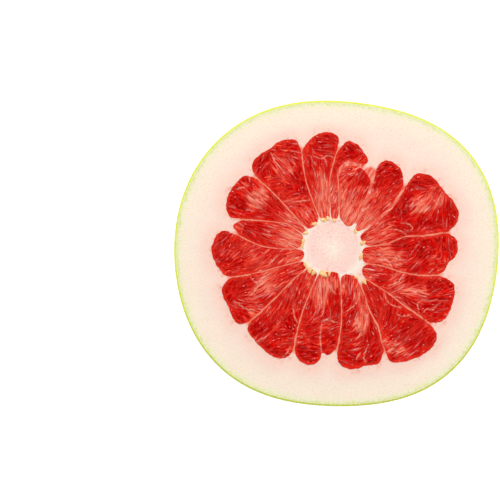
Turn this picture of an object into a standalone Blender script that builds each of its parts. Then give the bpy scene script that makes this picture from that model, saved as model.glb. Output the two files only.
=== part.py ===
# Half a pomelo, cut across its middle and lying cut face up on the flat spot round its blossom end.
# Lengths in the tables are millimetres and angles are degrees, anticlockwise from +X round the core.
# The origin is under the middle of the fruit's outline, on the surface that the half lies on.
import math

import bpy
import numpy as np
from mathutils import Vector
from mathutils.geometry import delaunay_2d_cdt

MM = 0.001  # one millimetre in Blender's metres

# the outline of the cut face: a mean radius, and the height and first crest of 1, 2, 3, 4 and 5 waves
RIM_RADIUS = 77.5
RIM_WAVES = ((3.5, -63), (2.3, -2), (0.4, 23), (1.6, 41), (0.5, 25))
CORE_PLACE = (-1.45, 3.08)  # the core's axis stands here, beside the middle of the outline

# the bowl below the cut face
CUT_HEIGHT = 70.0
BOWL_POWER = 2.15
FLATTENED_BY = 0.55
SKIN_THICKNESS = 1.4
GAP = 0.3
SKIN_ROLL = 0.45
AROUND = 60
OUTER_RINGS = 8
INNER_RINGS = 6

# the blossom end: a dimple in the flat spot, with the scar of the flower in its middle
DIMPLE_RADIUS = 4.4
DIMPLE_DEPTH = 0.8
SCAR_RADIUS = 1.7
SCAR_DEPTH = 0.35
FLOOR_OF_SKIN = 2.1

# the membranes between the segments, clockwise: their angles at each of these distances from the core's axis
MEMBRANE_STATIONS = (14, 24, 34, 44, 54)
MEMBRANES = {
    "a": (115.8, 114.3, 112.8, 109.7, 107.0),
    "b": (95.8, 94.2, 92.8, 88.6, 85.1),
    "c": (79.4, 84.0, 86.4, 87.2, 87.2),
    "d": (45.3, 52.8, 58.2, 63.2, 63.9),
    "e": (27.5, 31.5, 34.3, 40.0, 44.5),
    "f": (1.0, 2.5, 8.4, 7.1, 7.4),
    "g": (-29.9, -21.0, -20.5, -18.1, -14.3),
    "h": (-47.6, -43.3, -40.0, -39.7, -38.6),
    "i": (-50.0, -55.5, -60.4, -60.7, -63.8),
    "j": (-77.7, -81.2, -83.4, -86.3, -89.5),
    "k": (-119.8, -117.4, -115.7, -113.3, -111.0),
    "l": (-141.1, -141.3, -139.0, -138.4, -138.2),
    "m": (-155.2, -159.5, -160.8, -162.2, -163.9),
    "n": (-176.9, -177.7, -180.5, -186.1, -190.4),
    "o": (-201.6, -207.1, -201.2, -197.3, -194.8),
    "p": (-213.0, -218.9, -221.5, -222.1, -221.9),
}
HALF_MEMBRANE = 0.45
THICK_MEMBRANES = {"d": 0.9, "e": 0.8}  # half the thickness of the two that the cut meets at a slant

# each segment: its two membranes, where they leave it for the rounded outer end, the points of its inner end
# as distance and angle from the right membrane to the left, those of its outer end from the left membrane to
# the right, and how deep its colour is
SEGMENTS = (
    ("a", "b", 48.5, 48.0, ((12.9, 99.5), (13.6, 108.0)),
     ((52.1, 103.9), (53.6, 101), (55.1, 97.3), (55.4, 93.2), (54.4, 89.4), (52.2, 87.0)), 0.7),
    ("b", "c", 46.5, 36.0, ((13.2, 85.5), (13.0, 89.5)),
     ((50.4, 83.9), (51.7, 81.5), (51.0, 77.7), (49.1, 73.8), (46.9, 70.6), (44.9, 68.0), (43.0, 68.0),
      (42.2, 71.0), (42.1, 75.0), (42.2, 79.5), (40.4, 83.8)), 0.5),
    ("c", "d", 34.0, 36.5, ((13.2, 51.0), (12.0, 57.0), (12.1, 64.0), (13.4, 72.5)),
     ((37.6, 83.2), (40.0, 79.0), (40.5, 75.0), (40.3, 70.5), (39.0, 66.3)), 0.3),
    ("d", "e", 41.0, 44.5, ((13.7, 33.0), (13.4, 38.5)),
     ((44.7, 61.5), (46.5, 60.8), (48.6, 59.0), (49.8, 55.8), (49.9, 52.2), (49.4, 48.6),
      (47.8, 45.4)), 0.4),
    ("e", "f", 48.5, 56.0, ((14.8, 7.5), (13.9, 14.0), (13.7, 20.5)),
     ((52.6, 41.8), (55.2, 40.0), (57.8, 36.8), (59.1, 33.0), (59.4, 27.2), (60.6, 24.4), (62.0, 20.5),
      (62.5, 16.6), (61.8, 13.0), (59.7, 10.2)), 0.5),
    ("f", "g", 54.5, 51.0, ((15.2, -22.5), (14.3, -15.0), (14.2, -6.5)),
     ((57.2, 5.8), (59.2, 3.6), (59.8, 0.5), (59.6, -2.4), (58.4, -5.5), (56.0, -7.6), (55.2, -9.9),
      (54.4, -12.6)), 0.8),
    ("g", "h", 53.0, 58.5, ((18.4, -41.0), (17.1, -35.5)),
     ((57.5, -15.7), (60.3, -17.0), (62.1, -19.5), (63.0, -23.5), (63.9, -28.8), (64.0, -32.5),
      (62.6, -35.6)), 0.9),
    ("h", "i", 60.5, 57.0, ((22.3, -50.5), (22.2, -47.5)),
     ((64.0, -39.6), (66.1, -41.0), (67.5, -44.0), (67.9, -47.0), (67.4, -50.0), (66.4, -54.0),
      (64.8, -58.6), (63.1, -62.2), (60.8, -64.0)), 0.8),
    ("i", "j", 55.5, 50.5, ((14.5, -71.5), (14.4, -65.0), (16.2, -57.5)),
     ((59.3, -67.5), (60.2, -69.9), (59.7, -72.6), (59.0, -75.0), (59.6, -77.6), (59.6, -81.5),
      (57.8, -85.6), (54.8, -87.9)), 0.6),
    ("j", "k", 48.0, 51.5, ((13.4, -112.5), (12.6, -103.0), (11.9, -92.0), (12.4, -83.5)),
     ((51.2, -90.6), (52.3, -93.0), (51.6, -95.2), (50.9, -96.2), (53.2, -96.6), (56.0, -97.6),
      (58.2, -101.8), (57.4, -106.3), (55.0, -109.2)), 0.9),
    ("k", "l", 52.5, 54.5, ((15.2, -136.0), (14.6, -130.5), (14.8, -124.5)),
     ((56.3, -112.1), (59.2, -114.8), (60.2, -119.0), (59.9, -123.4), (59.0, -129.0), (57.7, -136.0)), 0.7),
    ("l", "m", 54.0, 52.0, ((15.8, -151.5), (15.8, -148.0)),
     ((57.7, -139.8), (59.4, -143.0), (58.9, -147.3), (58.3, -149.9), (58.4, -153.5), (58.0, -157.6),
      (56.4, -160.9)), 0.6),
    ("m", "n", 51.5, 48.5, ((14.9, -172.5), (14.5, -167.0), (15.2, -161.5)),
     ((54.4, -165.6), (56.1, -169.0), (58.2, -174.5), (58.8, -179.5), (57.8, -183.2), (56.2, -186.6),
      (53.2, -188.6)), 0.7),
    ("n", "o", 46.0, 46.0, ((15.1, -196.0), (14.9, -189.0), (15.6, -182.5)),
     ((48.7, -190.4), (49.7, -192.1), (48.6, -193.6)), 0.5),
    ("o", "p", 47.5, 49.0, ((15.0, -209.0), (14.9, -206.0)),
     ((50.6, -195.7), (52.6, -196.7), (54.7, -199.5), (56.2, -204.0), (56.6, -208.4), (56.3, -212.6),
      (55.8, -216.4), (53.9, -219.6)), 0.6),
    ("p", "a", 50.5, 49.0, ((14.6, -237.5), (13.6, -230.0), (13.7, -223.0), (14.5, -218.5)),
     ((53.9, -223.4), (56.0, -225.5), (56.9, -228.6), (56.9, -232.7), (56.4, -236.2), (57.1, -241.5),
      (56.8, -245.7), (55.6, -249.2), (53.4, -251.4)), 0.8),
)
INNER_ROUND = 1.4  # how far out from its inner end a segment meets its membranes
OUTLINE_POINTS = 28
OUTLINE_SOFTNESS = 0.7

# the pockets that the segments sit in, from the cut face down
FLESH_DEPTH = 52.0
FLESH_LEVELS = (0.0, 0.3, 0.58, 0.79, 0.92)
FLESH_POWER = 2.2
CORE_RADIUS = 12.0

# the juice sacs, as mounds on the cut face of each segment
SAC_WIDTH = 2.1
SAC_LENGTH = 3.7
SAC_RISE = 0.65
FLESH_EDGE_DROP = 0.25
EDGE_CLEAR = 1.1
SAC_SEED = 7

# the shrunken seeds at the core's edge: distance, angle, length, width and the turn of the long side
SEEDS = (
    (11.3, 110, 2.6, 1.7, 70), (11.2, 99, 2.0, 1.7, 0), (11.2, 87, 2.2, 1.7, 60), (11.5, 38, 2.2, 1.7, 80),
    (12.0, 9, 2.8, 1.7, 80), (12.3, -17, 3.2, 1.8, 85), (20.1, -49, 2.2, 1.5, 10), (16.4, -49, 2.0, 1.4, 0),
    (11.1, -108, 3.0, 1.7, 75), (10.2, -94, 2.2, 1.6, 60), (12.8, -134, 2.2, 1.8, 50),
    (12.7, -124, 2.2, 1.7, 60), (13.7, -148, 2.4, 1.7, 70), (12.9, -185, 2.4, 1.7, 80),
    (12.9, -195, 2.2, 1.7, 70), (12.7, -207, 2.4, 1.7, 60), (11.6, -229, 2.6, 1.7, 80),
)
SEED_POINTS = 7
SEED_RISE = 0.9
SEED_SHOULDER = (0.62, 0.75)  # the inner ring's size and height, as shares of the seed's own

SKIN_COLOUR = (0.66, 0.68, 0.06)
PITH_COLOUR = (0.95, 0.83, 0.72)
PALE_PULP = (0.72, 0.10, 0.06)
DEEP_PULP = (0.55, 0.01, 0.01)


def clear_scene():
    for thing in list(bpy.data.objects):
        bpy.data.objects.remove(thing, do_unlink=True)


def make_material(name, colour, roughness):
    material = bpy.data.materials.new(name)
    material.use_nodes = True
    shader = material.node_tree.nodes["Principled BSDF"]
    shader.inputs["Base Color"].default_value = (*colour, 1.0)
    shader.inputs["Roughness"].default_value = roughness
    shader.inputs["Metallic"].default_value = 0.0
    return material


def make_object(name, points, faces, material):
    mesh = bpy.data.meshes.new(name)
    mesh.from_pydata([tuple(point) for point in np.asarray(points) * MM], [], [list(face) for face in faces])
    mesh.validate()
    mesh.shade_smooth()
    mesh.set_sharp_from_angle(angle=math.radians(40))
    mesh.materials.append(material)
    piece = bpy.data.objects.new(name, mesh)
    bpy.context.scene.collection.objects.link(piece)
    return piece


def rim_radius(angle):
    """The fruit's radius at the cut face, from the core's axis; angle in radians."""
    waves = sum(
        height * np.cos((number + 1) * (angle - math.radians(crest)))
        for number, (height, crest) in enumerate(RIM_WAVES)
    )
    return RIM_RADIUS + waves


def bowl_ring(turn, depth_in=0.0, lowest=0.0, roll=0.0):
    """One ring of the bowl. turn goes from 0 at the pole to 90 at the cut face, and depth_in is how far
    under the skin's surface the ring lies."""
    angle = np.radians(np.arange(AROUND) * 360 / AROUND)
    reach = rim_radius(angle)
    across = math.sin(math.radians(turn)) ** (2 / BOWL_POWER)
    down = max(math.cos(math.radians(turn)), 0.0) ** (2 / BOWL_POWER)
    full_depth = CUT_HEIGHT + FLATTENED_BY
    outward = across ** (BOWL_POWER - 1) / reach
    downward = down ** (BOWL_POWER - 1) / full_depth
    size = np.hypot(outward, downward)
    swell = roll * across * down * (
        np.sin(3 * angle + 4 * across)
        + np.sin(7 * angle - 9 * across)
        + 0.7 * np.sin(13 * angle + 11 * down)
    )
    distance = reach * across - (depth_in - swell) * outward / size
    height = CUT_HEIGHT - full_depth * down + (depth_in - swell) * downward / size
    if turn >= 90:
        height = np.full(AROUND, CUT_HEIGHT)
    return np.column_stack((
        distance * np.cos(angle) + CORE_PLACE[0],
        distance * np.sin(angle) + CORE_PLACE[1],
        np.maximum(height, lowest),
    ))


def round_ring(radius, height):
    angle = np.radians(np.arange(AROUND) * 360 / AROUND)
    return np.column_stack((
        radius * np.cos(angle) + CORE_PLACE[0],
        radius * np.sin(angle) + CORE_PLACE[1],
        np.full(AROUND, height),
    ))


def flat_spot_turn():
    """The turn at which the bowl meets the surface that it lies on."""
    down = CUT_HEIGHT / (CUT_HEIGHT + FLATTENED_BY)
    across = (1 - down ** BOWL_POWER) ** (1 / BOWL_POWER)
    return math.degrees(math.asin(across ** (BOWL_POWER / 2)))


def join_rings(lower, upper, count):
    """Triangles of the band between two rings of count points, facing away from the rings' inside when
    the rings run anticlockwise and upper is above."""
    faces = []
    for step in range(count):
        following = (step + 1) % count
        faces.append((lower + step, lower + following, upper + following))
        faces.append((lower + step, upper + following, upper + step))
    return faces


def close_ring(centre, ring, count):
    return [(centre, ring + (step + 1) % count, ring + step) for step in range(count)]


def turned_over(faces):
    return [face[::-1] for face in faces]


def make_skin():
    start = flat_spot_turn()
    outside = [round_ring(SCAR_RADIUS, DIMPLE_DEPTH), round_ring(DIMPLE_RADIUS, 0.0), bowl_ring(start)]
    outside += [bowl_ring(turn, roll=SKIN_ROLL) for turn in np.linspace(start, 90, OUTER_RINGS + 1)[1:]]
    inside = [
        bowl_ring(turn, SKIN_THICKNESS, FLOOR_OF_SKIN)
        for turn in np.linspace(90, start, INNER_RINGS + 1)
    ]
    rings = outside + inside
    middle = (*CORE_PLACE, SCAR_DEPTH)
    middle_inside = (*CORE_PLACE, FLOOR_OF_SKIN)
    points = np.vstack(rings + [[middle], [middle_inside]])
    faces = []
    for step in range(len(rings) - 1):
        faces += join_rings(step * AROUND, (step + 1) * AROUND, AROUND)
    faces += close_ring(len(points) - 2, 0, AROUND)
    faces += turned_over(close_ring(len(points) - 1, (len(rings) - 1) * AROUND, AROUND))
    return make_object("skin", points, faces, make_material("skin", SKIN_COLOUR, 0.45))


def membrane_angle(name, distance):
    return np.interp(distance, MEMBRANE_STATIONS, MEMBRANES[name])


def drawn_in(distance, shrink):
    return CORE_RADIUS + (np.asarray(distance) - CORE_RADIUS) * shrink


def membrane_side(name, first, last, side, shrink):
    """Points along one membrane, half its thickness to one side, on a level where the flesh is shrink as
    wide as at the cut face."""
    distance = np.linspace(first, last, 12)
    away = drawn_in(distance, shrink)
    half = THICK_MEMBRANES.get(name, HALF_MEMBRANE)
    angle = np.radians(membrane_angle(name, distance)) + side * half / away
    return np.column_stack((away * np.cos(angle), away * np.sin(angle)))


def polar_points(pairs, shrink):
    distance = drawn_in([pair[0] for pair in pairs], shrink)
    angle = np.radians([pair[1] for pair in pairs])
    return np.column_stack((distance * np.cos(angle), distance * np.sin(angle)))


def curve_through(points, steps=8):
    """A closed line through the points that bends smoothly from each to the next."""
    before, after, beyond = (np.roll(points, -shift, axis=0) for shift in (-1, 1, 2))
    parts = []
    for share in np.arange(steps) / steps:
        parts.append(0.5 * (
            2 * points
            + (after - before) * share
            + (2 * before - 5 * points + 4 * after - beyond) * share ** 2
            + (3 * points - before - 3 * after + beyond) * share ** 3
        ))
    return np.stack(parts, axis=1).reshape(-1, 2)


def evenly(points, count):
    """A closed line read at count even steps of its length."""
    line = np.vstack((points, points[:1]))
    along = np.concatenate(([0], np.cumsum(np.hypot(*np.diff(line, axis=0).T))))
    wanted = np.linspace(0, along[-1], count, endpoint=False)
    return np.column_stack([np.interp(wanted, along, line[:, axis]) for axis in (0, 1)])


def softened(points, softness):
    """A closed line with its corners rounded, by a bell-shaped average of that width along it."""
    count = len(points)
    step = np.hypot(*(points - np.roll(points, 1, axis=0)).T).mean()
    reach = np.minimum(np.arange(count), count - np.arange(count)) * step
    weight = np.exp(-0.5 * (reach / softness) ** 2)
    spread = np.fft.fft(weight / weight.sum())
    return np.column_stack([np.fft.ifft(np.fft.fft(points[:, axis]) * spread).real for axis in (0, 1)])


def fewer_points(points, count):
    """A closed line read at count points, closer together where it bends."""
    before = points - np.roll(points, 1, axis=0)
    after = np.roll(points, -1, axis=0) - points
    sideways = before[:, 0] * after[:, 1] - before[:, 1] * after[:, 0]
    bend = np.abs(np.arctan2(sideways, (before * after).sum(axis=1)))
    bend = np.convolve(np.tile(bend, 3), np.ones(9) / 9, "same")[len(points):2 * len(points)]
    cost = np.hypot(*after.T) + 9.0 * bend
    along = np.concatenate(([0], np.cumsum(cost)))
    wanted = np.linspace(0, along[-1], count, endpoint=False)
    line = np.vstack((points, points[:1]))
    return np.column_stack([np.interp(wanted, along, line[:, axis]) for axis in (0, 1)])


def pocket_outline(segment, shrink):
    """The pocket of one segment on one level, clockwise from its inner end, about the core's axis."""
    left, right, left_end, right_end, inner, outer, _ = segment
    rough = np.vstack((
        polar_points(inner, shrink),
        membrane_side(left, inner[-1][0] + INNER_ROUND, left_end, -1, shrink),
        polar_points(outer, shrink),
        membrane_side(right, right_end, inner[0][0] + INNER_ROUND, 1, shrink),
    ))
    return fewer_points(softened(evenly(curve_through(rough), 400), OUTLINE_SOFTNESS), OUTLINE_POINTS)


def drawn_inside(outline, margin):
    """A clockwise outline moved in by margin, edge by edge."""
    before = outline - np.roll(outline, 1, axis=0)
    after = np.roll(outline, -1, axis=0) - outline
    before /= np.hypot(*before.T)[:, None]
    after /= np.hypot(*after.T)[:, None]
    inward = np.column_stack((before[:, 1] + after[:, 1], -before[:, 0] - after[:, 0]))
    inward /= np.hypot(*inward.T)[:, None]
    turn = inward[:, 0] * after[:, 1] - inward[:, 1] * after[:, 0]
    return outline + inward * (margin / np.maximum(turn, 0.4))[:, None]


def level_shrink(level):
    return (1 - level ** FLESH_POWER) ** (1 / FLESH_POWER)


def pocket_rings(segment):
    """The pocket's outline and height on each level, from the cut face down."""
    return [
        (pocket_outline(segment, level_shrink(level)), CUT_HEIGHT - FLESH_DEPTH * level)
        for level in FLESH_LEVELS
    ]


def flesh_rings(segment):
    """The segment's own outlines, the gap inside its pocket, with its base the gap above the pocket's."""
    rings = pocket_rings(segment)
    (upper, upper_height), (lowest, lowest_height) = rings[-2:]
    share = GAP / (upper_height - lowest_height)
    rings[-1] = (lowest + (upper - lowest) * share, lowest_height + GAP)
    return [(drawn_inside(outline, GAP), height) for outline, height in rings]


def inside_outline(points, outline):
    following = np.roll(outline, -1, axis=0)
    inside = np.zeros(len(points), bool)
    for start, end in zip(outline, following):
        crosses = (start[1] > points[:, 1]) != (end[1] > points[:, 1])
        rise = end[1] - start[1]
        along = start[0] + (points[:, 1] - start[1]) * (end[0] - start[0]) / (rise if rise else 1e-9)
        inside ^= crosses & (points[:, 0] < along)
    return inside


def distance_to_outline(points, outline):
    nearest = np.full(len(points), np.inf)
    for start, end in zip(outline, np.roll(outline, -1, axis=0)):
        side = end - start
        share = np.clip((points - start) @ side / (side @ side), 0, 1)
        nearest = np.minimum(nearest, np.hypot(*(points - start - share[:, None] * side).T))
    return nearest


def triangles_over(points, edges):
    """Delaunay triangles over flat points that keep the given edges, facing up."""
    found, _, faces, *_ = delaunay_2d_cdt([Vector(point) for point in points], edges, [], 0, 1e-6)
    if len(found) != len(points):
        raise ValueError("two points of a flat face lie on each other")
    faces = np.array([list(face) for face in faces])
    first, second, third = (np.asarray(points)[faces[:, corner]] for corner in range(3))
    one, other = second - first, third - first
    sideways = one[:, 0] * other[:, 1] - one[:, 1] * other[:, 0]
    faces[sideways < 0] = faces[sideways < 0][:, ::-1]
    return faces[np.abs(sideways) > 1e-9]


def loop_edges(first, count):
    return [(first + step, first + (step + 1) % count) for step in range(count)]


def sac_tops(outline, random):
    """The sacs' middles on one segment's cut face, in rows round the core, high and low in turn."""
    distance = np.hypot(*outline.T)
    angle = np.unwrap(np.arctan2(outline[:, 1], outline[:, 0]))
    places = []
    heights = []
    for row, away in enumerate(np.arange(distance.min() + 2.4, distance.max(), SAC_LENGTH)):
        span = np.arange(angle.min(), angle.max(), SAC_WIDTH / away)
        shift = 0.5 * (row % 2) * SAC_WIDTH / away
        for column, turn in enumerate(span + shift):
            reach = away + random.uniform(-0.5, 0.5)
            places.append((reach * math.cos(turn), reach * math.sin(turn)))
            share = random.uniform(0.75, 1.0) if column % 2 else random.uniform(-0.15, 0.1)
            heights.append(SAC_RISE * share)
    places = np.array(places)
    keep = inside_outline(places, outline) & (distance_to_outline(places, outline) > EDGE_CLEAR)
    return places[keep], np.array(heights)[keep]


def make_segment(number, segment, random):
    rings = flesh_rings(segment)
    count = OUTLINE_POINTS
    top, _ = rings[0]
    sacs, rises = sac_tops(top, random)
    flat = np.vstack((top, sacs))
    cap = triangles_over(flat, loop_edges(0, count))
    cap = cap[inside_outline(flat[cap].mean(axis=1), top)]
    height = np.concatenate((np.full(count, CUT_HEIGHT - FLESH_EDGE_DROP), CUT_HEIGHT + rises))
    points = [np.column_stack((flat, height))]
    faces = [tuple(face) for face in cap]
    upper = 0
    lower = len(flat)
    for outline, level in rings[1:]:
        points.append(np.column_stack((outline, np.full(count, level))))
        faces += turned_over(join_rings(lower, upper, count))
        upper = lower
        lower += count
    base = triangles_over(outline, loop_edges(0, count))
    base = base[inside_outline(outline[base].mean(axis=1), outline)]
    faces += [tuple(face[::-1] + upper) for face in base]
    depth = segment[-1]
    colour = [pale + (deep - pale) * depth for pale, deep in zip(PALE_PULP, DEEP_PULP)]
    name = f"segment_{number:02d}"
    return make_object(name, on_core(np.vstack(points)), faces, make_material(name, colour, 0.3))


def on_core(points):
    """Points about the core's axis, moved to where the axis stands."""
    return points + np.array((*CORE_PLACE, 0.0))


def seed_relief(seed):
    """One shrunken seed standing out of the cut face: two rings and a middle, about the core's axis."""
    distance, angle, length, width, turn = seed
    place = np.array((math.cos(math.radians(angle)), math.sin(math.radians(angle)))) * distance
    step = np.radians(np.arange(SEED_POINTS) * 360 / SEED_POINTS)
    oval = np.column_stack((length / 2 * np.cos(step), width / 2 * np.sin(step)))
    lean = math.radians(turn + angle)
    oval = oval @ np.array(((math.cos(lean), math.sin(lean)), (-math.sin(lean), math.cos(lean))))
    size, rise = SEED_SHOULDER
    flat = np.vstack((oval + place, oval * size + place, [place]))
    height = np.concatenate((
        np.full(SEED_POINTS, CUT_HEIGHT),
        np.full(SEED_POINTS, CUT_HEIGHT + SEED_RISE * rise),
        [CUT_HEIGHT + SEED_RISE],
    ))
    return flat, height


def make_pith():
    """The white pith with its core and the membranes between the segments, as one body with a pocket for
    each segment and the shrunken seeds raised from the core's edge."""
    start = flat_spot_turn()
    under_skin = SKIN_THICKNESS + GAP
    rings = [
        bowl_ring(turn, under_skin, FLOOR_OF_SKIN + GAP)
        for turn in np.linspace(start, 90, INNER_RINGS + 1)
    ]
    points = np.vstack(rings + [[(*CORE_PLACE, FLOOR_OF_SKIN + GAP)]])
    faces = []
    for step in range(INNER_RINGS):
        faces += join_rings(step * AROUND, (step + 1) * AROUND, AROUND)
    faces += close_ring(len(points) - 1, 0, AROUND)

    pockets = [pocket_rings(segment) for segment in SEGMENTS]
    flat = [rings[-1][:, :2] - np.array(CORE_PLACE)]
    heights = [np.full(AROUND, CUT_HEIGHT)]
    edges = loop_edges(0, AROUND)
    mouths = []
    for pocket in pockets:
        mouths.append(sum(len(part) for part in flat))
        edges += loop_edges(mouths[-1], OUTLINE_POINTS)
        flat.append(pocket[0][0])
        heights.append(np.full(OUTLINE_POINTS, CUT_HEIGHT))
    for seed in SEEDS:
        place, height = seed_relief(seed)
        first = sum(len(part) for part in flat)
        edges += loop_edges(first, SEED_POINTS) + loop_edges(first + SEED_POINTS, SEED_POINTS)
        flat.append(place)
        heights.append(height)
    flat = np.vstack(flat)
    top = triangles_over(flat, edges)
    middles = flat[top].mean(axis=1)
    for pocket in pockets:
        keep = ~inside_outline(middles, pocket[0][0])
        top, middles = top[keep], middles[keep]
    # the face's first ring is the bowl's last one, so its points are shared
    order = np.arange(len(flat))
    number = np.where(order < AROUND, INNER_RINGS * AROUND + order, len(points) - AROUND + order)
    faces += [tuple(face) for face in number[top]]
    points = np.vstack((points, on_core(np.column_stack((flat, np.concatenate(heights))))[AROUND:]))

    for pocket, mouth in zip(pockets, mouths):
        upper = number[mouth]
        for outline, level in pocket[1:]:
            lower = len(points)
            points = np.vstack((points, on_core(np.column_stack((outline, np.full(OUTLINE_POINTS, level))))))
            faces += join_rings(lower, upper, OUTLINE_POINTS)
            upper = lower
        base = triangles_over(outline, loop_edges(0, OUTLINE_POINTS))
        base = base[inside_outline(outline[base].mean(axis=1), outline)]
        faces += [tuple(face + upper) for face in base]
    return make_object("pith", points, faces, make_material("pith", PITH_COLOUR, 0.7))


def main():
    clear_scene()
    make_skin()
    make_pith()
    random = np.random.default_rng(SAC_SEED)
    for number, segment in enumerate(SEGMENTS, 1):
        make_segment(number, segment, random)


main()
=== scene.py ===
import math
import bpy
import numpy as np
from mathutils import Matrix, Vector
from mathutils.geometry import delaunay_2d_cdt


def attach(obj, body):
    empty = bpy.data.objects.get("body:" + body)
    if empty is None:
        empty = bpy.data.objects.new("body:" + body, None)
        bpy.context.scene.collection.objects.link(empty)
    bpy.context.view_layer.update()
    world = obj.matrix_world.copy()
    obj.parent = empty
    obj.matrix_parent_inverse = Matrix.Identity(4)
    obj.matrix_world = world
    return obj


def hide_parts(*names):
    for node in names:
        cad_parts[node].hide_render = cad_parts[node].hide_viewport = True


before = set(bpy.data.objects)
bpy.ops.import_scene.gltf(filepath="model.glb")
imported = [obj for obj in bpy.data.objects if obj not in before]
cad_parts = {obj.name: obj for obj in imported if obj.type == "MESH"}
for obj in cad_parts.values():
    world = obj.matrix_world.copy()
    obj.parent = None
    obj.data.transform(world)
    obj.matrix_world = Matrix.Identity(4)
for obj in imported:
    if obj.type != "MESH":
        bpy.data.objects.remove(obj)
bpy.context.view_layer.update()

mm = 0.001  # every length below is in millimetres, measured from the core's axis and the table

# the half's own measures, as in the solids
fruit = {
    "corePlace": (-1.45, 3.08),
    "cutHeight": 70.0,
    "rimRadius": 77.5,
    "rimWaves": ((3.5, -63), (2.3, -2), (0.4, 23), (1.6, 41), (0.5, 25)),  # height and crest of 1 to 5 waves
    "bowlPower": 2.15,
    "flattenedBy": 0.55,
    "skinThickness": 1.4,
    "skinFloor": 2.1,
    "setBack": 0.12,  # keeps the smooth outline inside the faceted one
    "fleshDepth": 52.0,
    "fleshLevels": (0.1, 0.2, 0.32, 0.45, 0.58, 0.7, 0.8, 0.87, 0.92),
    "fleshPower": 2.2,
    "coreRadius": 12.0,
    "outlineDrop": 0.25,  # how far under the cut the solid segments' top edges lie
    "pocketGap": 0.5,  # how far past a solid segment's edge its flesh reaches, which leaves thin septa
    "pocketWaver": 0.09,  # how unevenly it does so
    "pocketSlit": 0.008,
    "lobeNotch": 0.3,  # the dents between the outer sacs
    "sharpAngle": 55,
}


def tint(red, green, blue):
    # a colour as a screen shows it, 0 to 255, as light
    shares = np.array((red, green, blue)) / 255
    return (*np.where(shares <= 0.04045, shares / 12.92, ((shares + 0.055) / 1.055) ** 2.4).tolist(), 1.0)


def tints(**colours):
    return {name: tint(*colour) for name, colour in colours.items()}


# outlines and flat meshes


def between(before, start, end, beyond, share):
    # the place on a smooth line from start to end
    return 0.5 * (
        2 * start
        + (end - before) * share
        + (2 * before - 5 * start + 4 * end - beyond) * share ** 2
        + (3 * start - before - 3 * end + beyond) * share ** 3
    )


def closedCurve(points, steps=10):
    # a smooth closed line through the points
    before, after, beyond = (np.roll(points, -shift, axis=0) for shift in (-1, 1, 2))
    parts = [between(before, points, after, beyond, share) for share in np.arange(steps) / steps]
    return np.stack(parts, axis=1).reshape(-1, 2)


def openCurve(points, spacing=0.25):
    # a smooth open line through the points, read at even steps
    points = np.asarray(points, float)
    padded = np.vstack((2 * points[0] - points[1], points, 2 * points[-1] - points[-2]))
    parts = []
    for first in range(len(points) - 1):
        parts.append(between(*padded[first:first + 4], np.linspace(0, 1, 12, endpoint=False)[:, None]))
    line = np.vstack(parts + [points[-1:]])
    along = np.concatenate(([0], np.cumsum(np.hypot(*np.diff(line, axis=0).T))))
    wanted = np.arange(0, along[-1], spacing)
    return np.column_stack([np.interp(wanted, along, line[:, axis]) for axis in (0, 1)])


def evenly(points, spacing):
    line = np.vstack((points, points[:1]))
    along = np.concatenate(([0], np.cumsum(np.hypot(*np.diff(line, axis=0).T))))
    wanted = np.linspace(0, along[-1], max(int(along[-1] / spacing), 8), endpoint=False)
    return np.column_stack([np.interp(wanted, along, line[:, axis]) for axis in (0, 1)])


def area(outline):
    following = np.roll(outline, -1, axis=0)
    return 0.5 * (outline[:, 0] * following[:, 1] - outline[:, 1] * following[:, 0]).sum()


def grown(outline, margin):
    # an anticlockwise outline moved outwards by the margin
    along = np.roll(outline, -1, axis=0) - np.roll(outline, 1, axis=0)
    along /= np.hypot(*along.T)[:, None]
    return outline + np.column_stack((along[:, 1], -along[:, 0])) * margin


def within(points, outline):
    inside = np.zeros(len(points), bool)
    for start, end in zip(outline, np.roll(outline, -1, axis=0)):
        crosses = (start[1] > points[:, 1]) != (end[1] > points[:, 1])
        rise = end[1] - start[1]
        reach = start[0] + (points[:, 1] - start[1]) * (end[0] - start[0]) / (rise if rise else 1e-9)
        inside ^= crosses & (points[:, 0] < reach)
    return inside


def distanceTo(points, outline):
    nearest = np.full(len(points), np.inf)
    for start, side in zip(outline, np.roll(outline, -1, axis=0) - outline):
        share = np.clip((points - start) @ side / max(side @ side, 1e-12), 0, 1)
        gap = points - start - share[:, None] * side
        nearest = np.minimum(nearest, (gap * gap).sum(axis=1))
    return np.sqrt(nearest)


def added(name, data):
    # a new object in the scene
    thing = bpy.data.objects.new(name, data)
    bpy.context.scene.collection.objects.link(thing)
    return thing


def closeTo(points, outline, margin):
    # which points lie in the outline's box, widened by the margin
    low, high = outline.min(axis=0) - margin, outline.max(axis=0) + margin
    return np.flatnonzero(((points > low) & (points < high)).all(axis=1))


def loopEdges(first, count):
    return [(first + step, first + (step + 1) % count) for step in range(count)]


def flatTriangles(points, edges):
    found, _, faces, *_ = delaunay_2d_cdt([Vector(point) for point in points], edges, [], 0, 1e-7)
    if len(found) != len(points):
        raise ValueError("two points of a flat face lie on each other")
    faces = np.array([list(face) for face in faces])
    first, second, third = (points[faces[:, corner]] for corner in range(3))
    one, other = second - first, third - first
    turn = one[:, 0] * other[:, 1] - one[:, 1] * other[:, 0]
    faces[turn < 0] = faces[turn < 0][:, ::-1]
    return faces[np.abs(turn) > 1e-10]


def gridWithin(outline, spacing, margin, random):
    # an uneven three-way grid of points inside an outline
    low, high = outline.min(axis=0), outline.max(axis=0)
    rows = np.arange(low[1], high[1], spacing * 0.866)
    columns = np.arange(low[0], high[0], spacing)
    across, up = np.meshgrid(columns, rows)
    across = across + 0.5 * spacing * (np.arange(len(rows)) % 2)[:, None]
    points = np.column_stack((across.ravel(), up.ravel()))
    points += random.uniform(-0.18, 0.18, points.shape) * spacing
    points = points[within(points, outline)]
    return points[distanceTo(points, outline) > margin]


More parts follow.
